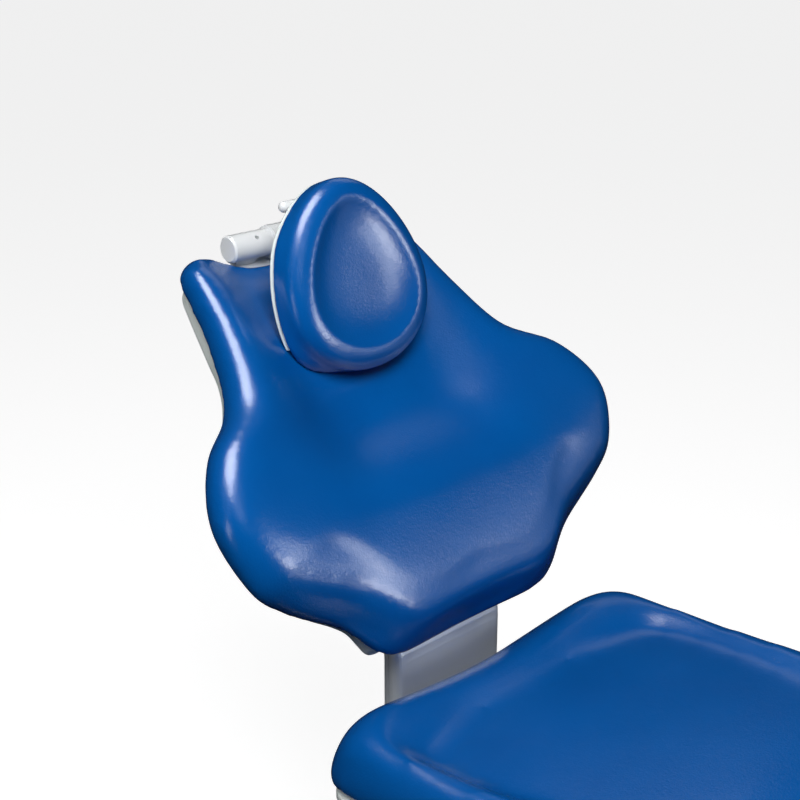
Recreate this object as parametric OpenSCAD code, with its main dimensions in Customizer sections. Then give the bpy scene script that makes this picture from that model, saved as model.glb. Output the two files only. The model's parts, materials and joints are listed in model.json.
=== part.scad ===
// Dental chair: floor base with a three-stage lift column, a one-piece seat and leg section,
// a reclining butterfly backrest and a double-articulating headrest on a glide bar.
// Millimetres, +Z up. The origin is on the floor on the column's axis. The patient's feet
// point to -Y, the head to +Y, and the patient's right hand is at -X.

/* [Base and column] */
// Length of the floor plate, front to back
plate_l = 620; // [560:10:700]
// Width of the floor plate
plate_w = 400; // [380:10:460]
// Thickness of the floor plate
plate_t = 14; // [10:1:20]
// Height of the top of the moulded base cover
cover_top = 84; // [78:1:86]
// Outer radius of the fixed column tube
column_r = 85; // [80:1:90]
// Height of the underside of the seat casting at rest
casting_z = 400; // [400:1:420]

/* [Seat] */
// Height of the seat's rear rim
seat_rear_z = 565; // [560:1:580]
// Half width of the seat cushion
seat_half_w = 264; // [250:1:280]
// Where the seat cushion ends at the rear
seat_rear_y = 322; // [316:1:324]
// Where the leg section ends at the toe
seat_toe_y = -845; // [-900:5:-800]
// Thickness of the seat cushion
seat_t = 65; // [55:1:70]
// Depth of the dished middle of the seat
seat_dish = 20; // [10:1:24]

/* [Backrest] */
// Recline of the backrest from upright, in degrees
recline = 38.4; // [38:0.1:39]
// Half width of the backrest at the shoulders
shoulder = 310; // [300:1:320]
// Thickness of the backrest cushion
back_t = 67; // [64:1:70]
// Depth of the hollow between the upper side bolsters
trough = 52.5; // [52:0.5:53]
// Radius of the cushion's rolled edge
back_edge_r = 26; // [20:1:28]
// Depth of the moulded back shell
shell_d = 25; // [24:1:26]
// Wall of the moulded shells
wall = 4; // [3:0.5:5]
// Width of the grey arm cover
arm_w = 188; // [184:1:192]
// Depth of the grey arm cover
arm_d = 30; // [29:0.5:31]

/* [Headrest] */
// Radius of the headrest barrel
barrel_r = 17.5; // [16:0.5:18]
// Half length of the lower barrel
barrel_half = 87; // [84:1:90]
// How far the pad's pivot sits behind the pad's mid plane
pivot_back = 40; // [39:0.5:42]
// How far the pad's pivot sits below the pad's middle
pivot_low = 25; // [20:1:28]
// Tilt of the headrest pad from upright, in degrees
pad_tilt = 17; // [15:1:19]
// Half width of the headrest pad
pad_a = 108; // [104:1:110]
// Half height of the headrest pad
pad_b = 117; // [114:1:118]
// Thickness of the headrest pad
pad_t = 48; // [44:1:50]

/* [Hidden] */
$fn = 48;
eps = 0.05;
clear = 0.3;
run_fit = 0.05;

// backrest frame: x across, y to the rear, z up the backrest
back_y = 255;
back_z = 670;
hinge_y = 358;
hinge_z = 470;
pin_r = 12;
lever_r = 60;
lever_mid = 18.5;
lever_pin_r = 6;
act_y0 = 160;
act_y1 = 292;

// headrest pivots in the chair frame
pivot_a = [0, back_y + 398, back_z + 361];
pad_c = [0, back_y + 264, back_z + 340];
pivot_b = pad_c + pivot_back * [0, cos(pad_tilt), -sin(pad_tilt)]
        - pivot_low * [0, sin(pad_tilt), cos(pad_tilt)];
link_l = norm(pivot_b - pivot_a);
link_lean = atan2(pivot_a[1] - pivot_b[1], pivot_b[2] - pivot_a[2]);
glide_lean = 8.5;

seat_crest_z = seat_rear_z + 56.7;
seat_crest_y = -140;
pan_t = 22;
rail_x = 106;
rail_top = 477;
rail_bot = 437;

// ---------- shared functions ----------
function sstep(a, b, x) = let (t = min(max((x - a) / (b - a), 0), 1)) t * t * (3 - 2 * t);
function spline(a, b, c, d, t) =
    0.5 * (2 * b + (c - a) * t + (2 * a - 5 * b + 4 * c - d) * t * t
           + (3 * b - a - 3 * c + d) * t * t * t);
function mirrored(half) =
    concat(half, [for (i = [len(half) - 2:-1:1]) [-half[i][0], half[i][1]]]);
function smooth_loop(pts, steps) =
    let (n = len(pts))
    [for (i = [0:n - 1], j = [0:steps - 1])
        spline(pts[(i + n - 1) % n], pts[i], pts[(i + 1) % n], pts[(i + 2) % n], j / steps)];
// a loop drawn in towards its centre by a distance
function inset_loop(loop, c, d) = [for (p = loop) c + (p - c) * (1 - d / norm(p - c))];
// a loop scaled about its centre
function scaled_loop(loop, c, k) = [for (p = loop) c + (p - c) * k];
// drop of a rolled edge of radius r at a distance d in from its outside
function roll(r, d) = d >= r ? 0 : r - sqrt(r * r - (r - d) * (r - d));

// closed solid through a stack of rings with the same number of points
module ring_solid(rings) {
    n = len(rings[0]);
    m = len(rings);
    // the middle of the first and of the last ring closes the ends
    ends = [for (k = [0, m - 1])
        [for (a = [0:2]) [for (p = rings[k]) p[a]] * [for (p = rings[k]) 1] / n]];
    points = concat([for (r = rings) for (p = r) p], ends);
    sides = [for (k = [0:m - 2], i = [0:n - 1])
        let (j = (i + 1) % n, a = k * n + i, b = k * n + j, c = a + n, d = b + n)
        each [[a, b, d], [a, d, c]]];
    caps = [for (i = [0:n - 1])
        let (j = (i + 1) % n)
        each [[n * m, j, i], [n * m + 1, (m - 1) * n + i, (m - 1) * n + j]]];
    polyhedron(points = points, faces = concat(sides, caps), convexity = 6);
}

module rounded_box(size, r) {
    linear_extrude(size[2]) offset_square(size[0], size[1], r);
}

module offset_square(w, l, r) {
    translate([-w / 2 + r, -l / 2]) square([w - 2 * r, l]);
    translate([-w / 2, -l / 2 + r]) square([w, l - 2 * r]);
    for (x = [-1, 1], y = [-1, 1]) translate([x * (w / 2 - r), y * (l / 2 - r)]) circle(r);
}

module sleeve(r_out, r_in, h) {
    rotate_extrude($fn = 96) translate([r_in, 0]) square([r_out - r_in, h]);
}

module rod_x(r, half, c = [0, 0, 0]) {
    translate(c) rotate([0, 90, 0]) cylinder(r = r, h = 2 * half, center = true);
}

module back_frame() {
    translate([0, back_y, back_z]) rotate([-recline, 0, 0]) children();
}

module glide_frame() {
    translate(pivot_a) rotate([-recline - glide_lean, 0, 0]) children();
}

module pad_frame() {
    translate(pad_c) rotate([-pad_tilt, 0, 0]) children();
}

// hexagon socket screw, head up, tip at the origin's -Z side
module socket_screw(r, l, head_r, head_h) {
    translate([0, 0, -l]) cylinder(r = r, h = l + eps, $fn = 24);
    difference() {
        cylinder(r = head_r, h = head_h, $fn = 32);
        translate([0, 0, head_h / 2]) cylinder(r = head_r * 0.5, h = head_h, $fn = 6);
    }
}

// ---------- base ----------
anchor_x = 160;
anchor_y = 270;
anchor_r = 7;
column_bolt_pcd = 206;

module base_plate() {
    color("dimgray") difference() {
        rounded_box([plate_w, plate_l, plate_t], 50);
        for (x = [-1, 1], y = [-1, 1])
            translate([x * anchor_x, y * anchor_y, -1]) cylinder(r = anchor_r, h = plate_t + 2);
        for (a = [30:60:330])
            rotate(a) translate([column_bolt_pcd / 2, 0, 4]) cylinder(r = 5, h = plate_t);
    }
}

cover_w = plate_w + 40;
cover_l = plate_l + 40;
cover_z0 = 2;
lower_w = 238;
lower_l = 288;
pedal_y = [-110, 110];
pedal_half = 52;
cover_screw_x = 120;
cover_screw_y = 240;

module base_cover() {
    color("gainsboro") difference() {
        hull() {
            translate([0, 0, cover_z0]) rounded_box([cover_w, cover_l, 40], 70);
            translate([0, 0, cover_top - 22]) rounded_box([cover_w - 24, cover_l - 24, 10], 62);
            translate([0, 0, cover_top - 6]) rounded_box([cover_w - 70, cover_l - 70, 6], 50);
        }
        hull() {
            translate([0, 0, -1]) rounded_box([cover_w - 2 * wall, cover_l - 2 * wall, 42], 66);
            translate([0, 0, cover_top - 28]) rounded_box([cover_w - 32, cover_l - 32, 10], 58);
            translate([0, 0, cover_top - 12]) rounded_box([cover_w - 80, cover_l - 80, 7], 46);
        }
        translate([0, 0, cover_top - 40]) rounded_box([lower_w + 3, lower_l + 3, 60], 31);
        for (x = [-1, 1], y = [-1, 1])
            translate([x * cover_screw_x, y * cover_screw_y, cover_top - 30]) cylinder(r = 3.5, h = 60);
        // openings for the pedal frame and for the mains inlet
        translate([-cover_w / 2 - 10, -180, 8]) cube([40, 360, 46]);
        translate([90, cover_l / 2 - 30, 24]) cube([62, 60, 30]);
    }
}

module cover_screws() {
    color("silver") for (x = [-1, 1], y = [-1, 1])
        translate([x * cover_screw_x, y * cover_screw_y, cover_top]) socket_screw(3, 14, 6, 3);
}

column_top = 285;
guide_h = 44;
column_wall = 5;
stage_r = column_r - column_wall - 4;
slide_r = stage_r - column_wall - 4;
slide_wall = 7;
flange_r = 116;
flange_t = 12;

module column_tube() {
    color("slategray") translate([0, 0, plate_t]) {
        difference() {
            union() {
                sleeve(column_r, column_r - column_wall, column_top - plate_t);
                sleeve(flange_r, column_r - column_wall, flange_t);
            }
            for (a = [30:60:330])
                rotate(a) translate([column_bolt_pcd / 2, 0, -1]) cylinder(r = 5.5, h = 20);
        }
    }
}

module column_bolts() {
    color("silver") for (a = [30:60:330])
        rotate(a) translate([column_bolt_pcd / 2, 0, plate_t + flange_t]) socket_screw(5, 21, 8, 8);
}

module column_guide() {
    color("ivory") translate([0, 0, column_top - guide_h])
        sleeve(column_r - column_wall, stage_r + run_fit, guide_h);
}

shroud_wall = 3;

module shroud(w, l, r, z0, z1) {
    translate([0, 0, z0]) linear_extrude(z1 - z0) difference() {
        offset_square(w, l, r);
        offset_square(w - 2 * shroud_wall, l - 2 * shroud_wall, r - shroud_wall);
    }
}

module shroud_lower() {
    color("gainsboro") shroud(lower_w, lower_l, 30, plate_t, 292);
}

ram_r = 45;
ram_stage_r = 34;
ram_rod_r = 24;

module ram_cylinder() {
    color("steelblue") translate([0, 0, plate_t]) {
        cylinder(r = ram_r, h = 8);
        sleeve(ram_r, ram_r - 6, 236);
        translate([0, 0, 218]) sleeve(ram_r + 3, ram_stage_r + run_fit, 24);
    }
}

// motor and gear pump on a common foot, lying across the chair
pump_z = 31;
motor_l = 110;

module pump_motor() {
    color("darkslategray") translate([60, -240, plate_t + pump_z]) {
        rotate([0, -90, 0]) cylinder(r = 29, h = motor_l);
        translate([-motor_l - 8, 0, 0]) rotate([0, -90, 0]) cylinder(r = 22, h = 30);
        translate([-motor_l - 2, -20, -pump_z]) cube([12, 40, 51]);
        translate([-90, -24, -pump_z]) cube([70, 48, 8]);
    }
}

tank_h = 48;

module fluid_tank() {
    color("whitesmoke") translate([-92, 204, plate_t]) {
        rounded_box([110, 90, tank_h], 14);
        // filler cap
        translate([0, 0, tank_h]) cylinder(r = 12, h = 8);
    }
}

module control_box() {
    color("darkgreen") translate([40, 170, plate_t]) {
        cube([100, 110, 6]);
        translate([4, 4, 6]) cube([92, 102, 36]);
        for (i = [0:4]) translate([14 + 16 * i, 20, 42]) cube([8, 70, 6]);
    }
}

// recessed mains inlet with its three blades, in the rear face of the base
inlet_y = cover_l / 2 - 26;

module power_inlet() {
    color("black") {
        difference() {
            translate([91, inlet_y, 25]) cube([30, 28, 28]);
            translate([94, inlet_y + 8, 28.5]) cube([24, 24, 21]);
        }
        for (x = [-7, 0, 7])
            translate([106 + x - 1, inlet_y + 7, 37 + (x == 0 ? 3 : -2)]) cube([2, 15, 5]);
        difference() {
            translate([122, inlet_y, 25]) cube([29, 28, 28]);
            translate([126, inlet_y + 10, 29]) cube([21, 24, 20]);
            rocker_pin(rocker_pin_r + run_fit, 11.8);
        }
    }
}

switch_c = [136.5, inlet_y + 22, 39];
rocker_pin_r = 1.8;

module rocker_pin(r, half) {
    rod_x(r, half, switch_c);
}

module power_switch() {
    color("firebrick") union() {
        translate(switch_c) difference() {
            translate([-9.5, -8, -8.8]) cube([19, 16, 17.6]);
            // the pressed half of the rocker's face
            translate([-11, 5, 0]) rotate([12, 0, 0]) cube([22, 10, 14]);
            // clearance behind the pivot
            translate([-11, -20, -20]) cube([22, 14, 40]);
        }
        rocker_pin(rocker_pin_r, 11.5);
    }
}

pedal_x = -cover_w / 2 - 20;
pedal_z = 34;
pedal_pin_r = 4;
frame_l = 356;

module pedal_frame() {
    color("darkgray") {
        translate([-cover_w / 2 - 12, -frame_l / 2, 9]) cube([28, frame_l, 6]);
        translate([-cover_w / 2 + 8, -frame_l / 2, 9]) cube([8, frame_l, 42]);
        for (y = pedal_y) translate([0, y, 0]) for (x = [-28, 28]) difference() {
            union() {
                translate([pedal_x + x - 4, -10, 9]) cube([8, 20, pedal_z - 9]);
                translate([pedal_x + x, 0, pedal_z]) rotate([0, 90, 0])
                    cylinder(r = 10, h = 8, center = true);
            }
            rod_x(pedal_pin_r + run_fit, 90, [pedal_x, 0, pedal_z]);
        }
        translate([pedal_x - 32, -frame_l / 2, 9]) cube([70, frame_l, 6]);
    }
}

module pedal_pins() {
    color("silver") for (y = pedal_y)
        rod_x(pedal_pin_r, 27.5, [pedal_x, y, pedal_z]);
}

module pedal(y) {
    translate([pedal_x, y, pedal_z]) difference() {
        union() {
            translate([-22, -pedal_half, 2]) cube([44, 2 * pedal_half, 9]);
            rod_x(9, 22);
            translate([-22, -9, 0]) cube([44, 18, 6]);
            for (i = [-4:4]) if (i != 0) translate([-18, i * 11 - 2, 10.5]) cube([36, 4, 2.5]);
        }
        rod_x(pedal_pin_r + run_fit, 40);
    }
}

module lift_pedal() {
    color("dimgray") pedal(pedal_y[0]);
}

module recline_pedal() {
    color("dimgray") pedal(pedal_y[1]);
}

// ---------- middle stage ----------
stage_top = 334;

module column_stage() {
    color("lightslategray") translate([0, 0, 74])
        sleeve(stage_r, stage_r - column_wall, stage_top - 74);
}

module stage_guide() {
    color("ivory") translate([0, 0, stage_top - guide_h])
        sleeve(stage_r - column_wall, slide_r + run_fit, guide_h);
}

module ram_stage() {
    color("silver") translate([0, 0, 78]) {
        sleeve(ram_stage_r, ram_stage_r - 4, 240);
        cylinder(r = ram_stage_r, h = 6);
        translate([0, 0, 222]) sleeve(ram_stage_r, ram_rod_r + run_fit, 18);
    }
}

middle_w = lower_w + 12;
middle_l = lower_l + 12;

module shroud_middle() {
    color("gainsboro") shroud(middle_w, middle_l, 36, 140, 345);
}

// ---------- lifted frame ----------
module column_slide() {
    color("silver") {
        translate([0, 0, 126]) sleeve(slide_r, slide_r - slide_wall, casting_z - 126);
        translate([0, 0, casting_z - 12]) sleeve(96, slide_r - slide_wall, 12);
    }
}

module ram_rod() {
    color("silver") {
        translate([0, 0, 138]) cylinder(r = ram_rod_r, h = casting_z - 138);
        translate([0, 0, casting_z - 14]) cylinder(r = 46, h = 14);
    }
}

upper_w = middle_w + 12;
upper_l = middle_l + 12;

module shroud_upper() {
    color("gainsboro") shroud(upper_w, upper_l, 42, 190, casting_z);
}

cast_l = 300;
cast_w = 286;
rib_h = rail_bot - casting_z;
bolt_x = 118;
bolt_ys = [-90, 96];

module seat_casting() {
    color("lightgray") difference() {
        union() {
            translate([0, 0, casting_z]) rounded_box([cast_w, cast_l, 12], 44);
            // cross ribs and side ribs up to the rails
            for (y = [-120, 0, 110])
                translate([-cast_w / 2, y - 8, casting_z]) cube([cast_w, 16, rib_h]);
            for (x = [-126, 110]) translate([x, -140, casting_z]) cube([16, 280, rib_h]);
            translate([0, 0, casting_z]) cylinder(r = 60, h = rib_h);
        }
        for (x = [-1, 1], y = bolt_ys)
            translate([x * bolt_x, y, casting_z - 1]) cylinder(r = 5.5, h = 60);
    }
}

rail_w = 30;
rail_h = rail_top - rail_bot;
rail_y = [-430, 335];
rail_wall = 4;
rail_c = rail_x + rail_w / 2;

// one open-ended box tube
module rail_tube(grow, past) {
    translate([rail_c - rail_w / 2 - grow, rail_y[0] - past, rail_bot - grow])
        cube([rail_w + 2 * grow, rail_y[1] - rail_y[0] + 2 * past, rail_h + 2 * grow]);
}

module seat_rails() {
    color("darkgray") {
        for (x = [-1, 1]) {
            difference() {
                mirror([x < 0 ? 1 : 0, 0, 0]) difference() {
                    rail_tube(0, 0);
                    rail_tube(-rail_wall, 10);
                }
                for (y = bolt_ys)
                    translate([x * bolt_x, y, rail_bot - 1]) cylinder(r = 5.5, h = 60);
            }
            // hinge ears
            translate([x * (rail_x + 6), 0, 0]) difference() {
                union() {
                    translate([-6, 300, rail_bot]) cube([12, hinge_y - 300, rail_top - rail_bot]);
                    rod_x(26, 6, [0, hinge_y, hinge_z]);
                }
                rod_x(pin_r, 20, [0, hinge_y, hinge_z]);
            }
            // pads that carry the seat pan
            for (y = [-380, -130, 240])
                translate([x * rail_c - rail_w / 2, y - 20, rail_top - 1])
                    cube([rail_w, 40, pan_under(y) - rail_top + 1]);
        }
        // cross members
        for (y = [-400, 280])
            translate([-rail_x - 1, y - 15, rail_bot + 6]) cube([2 * rail_x + 2, 30, 28]);
    }
}
// underside of the seat pan over a 40 mm long pad, less a small gap
function pan_under(y) = min(seat_z(y - 20), seat_z(y + 20)) - seat_t - pan_t - 2.5;

module rail_bolts() {
    color("silver") for (x = [-1, 1], y = bolt_ys)
        translate([x * bolt_x, y, rail_top]) socket_screw(5, 74, 8, 8);
}

module hinge_pin() {
    color("silver") {
        rod_x(pin_r, rail_x + 14, [0, hinge_y, hinge_z]);
        for (x = [-1, 1]) rod_x(pin_r + 5, 2, [x * (rail_x + 14.5), hinge_y, hinge_z]);
    }
}

// ---------- seat and leg section ----------
// height of the cushion's rim along the chair
function seat_z(y) =
    let (k = y > seat_crest_y ? 25.5 : 16.5)
    seat_crest_z - k * (sqrt(1 + pow((y - seat_crest_y) / 150, 2)) - 1);
seat_c = [0, -260];
seat_half = [[0, seat_rear_y], [110, seat_rear_y + 5], [200, seat_rear_y - 3],
             [seat_half_w - 15, seat_rear_y - 24], [seat_half_w, seat_rear_y - 68],
             [seat_half_w + 1, 150], [seat_half_w - 3, 0], [seat_half_w - 10, -150],
             [seat_half_w - 25, -350], [seat_half_w - 43, -550], [seat_half_w - 64, -720],
             [seat_half_w - 92, seat_toe_y + 40], [110, seat_toe_y + 9], [0, seat_toe_y]];
seat_loop = smooth_loop(mirrored(seat_half), 2);

function seat_ring(loop, drop) = [for (p = loop) [p[0], p[1], seat_z(p[1]) - drop]];

// rings of a sheet parallel to the seat's rim line, from the middle out
function seat_sheet(loop, drop, steps) = [for (k = steps) seat_ring(scaled_loop(loop, seat_c, k), drop)];
// the seat's rings run the other way round from the backrest's
function turned(rings) = [for (q = rings) [for (i = [len(q) - 1:-1:0]) q[i]]];
seat_edge_r = 24;
seat_inner = inset_loop(seat_loop, seat_c, seat_edge_r);
under_steps = [0.7, 0.35, 0.02];
pan_gap = 2;

module seat_cushion() {
    r = seat_edge_r;
    top = [for (k = [0.02, 0.3, 0.6, 0.78, 0.9])
        seat_ring(scaled_loop(seat_inner, seat_c, k), seat_dish * (1 - sstep(0.6, 1, k)))];
    edge = [for (d = [r, 14, 7, 2, 0]) seat_ring(inset_loop(seat_loop, seat_c, d), roll(r, d))];
    side = [seat_ring(seat_loop, seat_t - 10), seat_ring(inset_loop(seat_loop, seat_c, 8), seat_t)];
    under = seat_sheet(seat_inner, seat_t, concat([1], under_steps));
    color([0, 0.31, 0.59]) ring_solid(turned(concat(top, edge, side, under)));
}

module seat_pan() {
    edge = inset_loop(seat_loop, seat_c, 12);
    low = inset_loop(seat_loop, seat_c, 34);
    top = seat_t + pan_gap;
    above = seat_sheet(seat_inner, top, [0.02, 0.35, 0.7, 1]);
    side = [seat_ring(edge, top), seat_ring(edge, top + 9), seat_ring(low, seat_t + pan_t)];
    below = seat_sheet(low, seat_t + pan_t, under_steps);
    color("whitesmoke") ring_solid(turned(concat(above, side, below)));
}

// ---------- recline actuator ----------
lever_y = hinge_y + lever_r * sin(lever_mid);
lever_z = hinge_z - lever_r * cos(lever_mid);
act_z = lever_z + 0.5;
act_r = 24;
act_rod_r = 10;

module actuator_body() {
    color("dimgray") {
        translate([0, act_y0, act_z]) rotate([-90, 0, 0]) difference() {
            cylinder(r = act_r, h = act_y1 - act_y0);
            translate([0, 0, 4]) cylinder(r = act_rod_r + 3, h = act_y1 - act_y0 - 16);
            translate([0, 0, 4]) cylinder(r = act_rod_r + run_fit, h = act_y1 - act_y0);
        }
        translate([act_r + 18, act_y0 + 10, act_z]) rotate([-90, 0, 0]) cylinder(r = 22, h = 96);
        translate([10, act_y0 + 6, act_z - 20]) cube([40, 18, 40]);
    }
}

module actuator_clevis() {
    color("darkgray") {
        translate([-20, cast_l / 2, casting_z]) cube([40, act_y0 - cast_l / 2, 30]);
    }
}

module actuator_rod() {
    slot_z = hinge_z - lever_r * (1 + cos(31.5)) / 2;
    slot_r = lever_pin_r + 1.3;
    color("silver") {
        translate([0, 220, act_z]) rotate([-90, 0, 0]) cylinder(r = act_rod_r, h = lever_y - 15 - 220);
        translate([-8, lever_y - 17, slot_z - 19]) difference() {
            cube([16, 34, 38]);
            for (z = [-4.4, 4.4]) rod_x(slot_r, 30, [8, 17, 19 + z]);
            translate([-1, 17 - slot_r, 19 - 4.4]) cube([18, 2 * slot_r, 8.8]);
        }
    }
}

// ---------- backrest ----------
// front surface of the cushion, as the distance in front of its own plane
hollow_v = [165, 283];
function back_crown(w, v) = 2.66e-4 * w * w - 4.6e-4 * pow(v - 214, 2);
function back_hollow(w, v) = trough * sstep(hollow_v[0], hollow_v[1], v) / (1 + pow(w / 141, 8));
back_c = [0, 250];
back_half = [[0, -5], [55, -6], [100, -8], [134, -5], [153, 3], [166, 14], [183, 33], [204, 51],
             [233, 68], [268, 90], [shoulder - 13, 121], [shoulder + 2, 198], [shoulder - 30, 269],
             [221, 322], [192, 402], [178, 476], [166, 506], [126, 524], [58, 505], [0, 505]];
back_loop = smooth_loop(mirrored(back_half), 2);

// a ring at a depth behind the crowned surface
function back_ring(loop, depth, hollow = 0) =
    [for (p = loop)
        [p[0], -back_crown(p[0], p[1]) + hollow * back_hollow(p[0], p[1]) + depth, p[1]]];

// rings of a sheet parallel to the crowned surface, from the middle out
function back_sheet(loop, depth, steps, hollow = 0) =
    [for (k = steps) back_ring(scaled_loop(loop, back_c, k), depth, hollow)];

module back_cushion() {
    r = back_edge_r;
    inner = inset_loop(back_loop, back_c, r);
    front = back_sheet(inner, 0, [0.02, 0.2, 0.4, 0.6, 0.78, 0.9], 1);
    edge = [for (d = [r, 15, 7, 2, 0])
        back_ring(inset_loop(back_loop, back_c, d), roll(r, d), d > 0 ? 1 : 0.55)];
    side = [back_ring(back_loop, back_t - 6), back_ring(inset_loop(back_loop, back_c, 7), back_t)];
    rear = back_sheet(inner, back_t, [0.75, 0.5, 0.25, 0.02]);
    color([0, 0.31, 0.59]) back_frame() ring_solid(concat(front, edge, side, rear));
}

// The shell is narrower than the cushion, which overhangs it most at the shoulders.
// A profile is a list of [distance in from the outline, depth behind the cushion].
shell_top_gap = 0.3;
shell_half = [[0, 7], [70, 7], [112, 6], [136, 5], [148, 9], [156, 22], [166, 39], [184, 54],
              [220, 77], [shoulder - 50, 112], [shoulder - 33, 160], [shoulder - 32, 212],
              [shoulder - 64, 270], [205, 324], [187, 362], [180, 403], [169, 460], [157, 496],
              [126, 510], [60, 493], [0, 493]];
shell_loop = smooth_loop(mirrored(shell_half), 2);
shell_outer = [[0, 0], [0, 18], [1, 22.5], [4, 24.6], [36, shell_d]];
shell_inner = [[5, -6], [5, 13], [7, 18], [13, 20.6], [36, shell_d - wall]];
shell_screw = [140, 330];
shell_screw_low = 52;

function shell_rings(profile) =
    let (n = len(profile) - 1, near = back_t + shell_top_gap,
         loops = [for (q = profile) inset_loop(shell_loop, back_c, q[0])])
    concat(back_sheet(loops[0], near + profile[0][1], [0.02, 0.5]),
           [for (i = [0:n]) back_ring(loops[i], near + profile[i][1])],
           back_sheet(loops[n], near + profile[n][1], [0.7, 0.35, 0.02]));

// children at the shell's four screws, with +Y out of the shell's rear face
module at_shell_screws() {
    for (x = [-1, 1], v = [shell_screw_low, shell_screw[1]])
        translate([x * shell_screw[0], back_t + shell_d - back_crown(shell_screw[0], v), v]) children();
}

module back_shell() {
    slot_half = bar_w / 2 + 10;
    color([0.86, 0.9, 0.88]) back_frame() difference() {
        ring_solid(shell_rings(shell_outer));
        ring_solid(shell_rings(shell_inner));
        at_shell_screws() rotate([90, 0, 0]) cylinder(r = 3.2, h = 60, center = true);
        // flat seats for the screw heads
        at_shell_screws() translate([0, -0.8, 0]) rotate([-90, 0, 0]) cylinder(r = 8, h = 20);
        // slot for the glide bar in the top edge
        translate([-slot_half, back_t - 10, 455]) cube([2 * slot_half, 62.5, 200]);
    }
}

// plywood board that the cushion is upholstered on, with a window for the glide bar
board_gap = 1.6;
board_t = 9;

module back_board() {
    loop = inset_loop(back_loop, back_c, 40);
    near = back_t + board_gap;
    color("burlywood") back_frame() difference() {
        ring_solid(concat(back_sheet(loop, near, [0.02, 0.5, 1]),
                          back_sheet(loop, near + board_t, [1, 0.5, 0.02])));
        translate([-86, back_t - 30, 296]) cube([172, 90, 300]);
        at_shell_screws() rotate([90, 0, 0]) cylinder(r = 3.2, h = 60, center = true);
    }
}

cover_r = 90;
cover_z = 572;
cover_low = 496;
cover_run = 236;

// side line of the arm's bent path at a depth o behind its mid line, as [y, z] points
cover_steps = 6;
function side_line(o, low, run) =
    let (cy = hinge_y + cover_r, k = cover_r - o)
    concat([[hinge_y + o, low]],
           [for (i = [0:cover_steps])
               let (a = recline * i / cover_steps)
               [cy - k * cos(a), cover_z + k * sin(a)]],
           [[cy - k * cos(recline) + run * sin(recline),
             cover_z + k * sin(recline) + run * cos(recline)]]);
function corner(cx, cy, r, a0, a1) =
    [for (i = [0:5]) let (a = a0 + (a1 - a0) * i / 5) [cx + r * cos(a), cy + r * sin(a)]];

// open channel that is one half of the cover, cut at the seam; side is -1 in front, 1 at the rear
cover_r_out = 12;
cover_wall = 3;
seam_gap = 0.6;
function channel(side) =
    let (w = arm_w / 2, d = arm_d / 2, r = cover_r_out, q = seam_gap / 2)
    [for (p = concat([[w, q]], corner(w - r, d - r, r, 0, 90),
                     corner(r - w, d - r, r, 90, 180), [[-w, q]],
                     [[cover_wall - w, q]], corner(r - w, d - r, r - cover_wall, 180, 90),
                     corner(w - r, d - r, r - cover_wall, 90, 0), [[w - cover_wall, q]]))
        [side * p[0], side * p[1]]];

// closed solid swept through rings whose ends are flat polygons
module swept_solid(rings) {
    n = len(rings[0]);
    m = len(rings);
    sides = [for (k = [0:m - 2], i = [0:n - 1])
        let (j = (i + 1) % n, a = k * n + i, b = k * n + j)
        each [[a, b + n, b], [a, a + n, b + n]]];
    ends = [[for (i = [0:n - 1]) i], [for (i = [n - 1:-1:0]) (m - 1) * n + i]];
    polyhedron(points = [for (r = rings) each r], faces = concat(sides, ends));
}

// local depth of the arm's mid line behind the backrest's plane, along its straight upper run
run_mid = (hinge_y + cover_r - back_y) * cos(recline) - (cover_z - back_z) * sin(recline) - cover_r;
window_half = 70;
window_low = 86;
window_h = 178;

module arm_cover(side) {
    section = channel(side);
    lines = [for (q = section) side_line(q[1], cover_low, cover_run)];
    color([0.6, 0.66, 0.7]) difference() {
        swept_solid([for (k = [0:len(lines[0]) - 1])
            [for (i = [0:len(section) - 1]) [section[i][0], lines[i][k][0], lines[i][k][1]]]]);
        if (side < 0) back_frame() translate([-window_half, run_mid - arm_d, window_low])
            cube([2 * window_half, arm_d, window_h]);
    }
}

module arm_cover_front() {
    arm_cover(-1);
}

module arm_cover_rear() {
    arm_cover(1);
}

// upright plate cut to the arm's bent side line
module cheek(x, t, half, low, run) {
    rear = side_line(half, low, run);
    line = concat(side_line(-half, low, run), [for (i = [cover_steps + 2:-1:0]) rear[i]]);
    translate([x - t / 2, 0, 0]) rotate([90, 0, 90]) linear_extrude(t) polygon(line);
}

cheek_x = 77;
cheek_t = 10;
cheek_half = 11.4;
tube_r = 20;
plate_y = run_mid - arm_d / 2 + cover_wall + 0.8;
plate_thick = 6;
standoff_half = 64;

module back_arm() {
    color("darkgray") difference() {
        union() {
            // cheeks up the inside of the cover
            for (x = [-cheek_x, cheek_x]) cheek(x, cheek_t, cheek_half, hinge_z - 4, cover_run - 20);
            // torque tube round the hinge pin
            rod_x(tube_r, rail_x - 1.5, [0, hinge_y, hinge_z]);
            // lever plates down to the actuator
            for (x = [-14, 14]) hull() {
                rod_x(18, 4, [x, hinge_y, hinge_z]);
                rod_x(13, 4, [x, lever_y, lever_z]);
            }
            // cross plates between the cheeks, and stand-offs to the shell
            translate([-cheek_x, hinge_y - 3, 505]) cube([2 * cheek_x, 6, 50]);
            back_frame() translate([-cheek_x, plate_y, window_low + 2])
                cube([2 * cheek_x, plate_thick, window_h - 4]);
            back_frame() for (v = [110, 230])
                let (near = back_t + shell_d - back_crown(0, v) + 1)
                translate([-standoff_half, near, v]) cube([2 * standoff_half, plate_y - near + 2, 8]);
        }
        rod_x(pin_r + run_fit, 200, [0, hinge_y, hinge_z]);
        rod_x(lever_pin_r, 60, [0, lever_y, lever_z]);
    }
}

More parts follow.
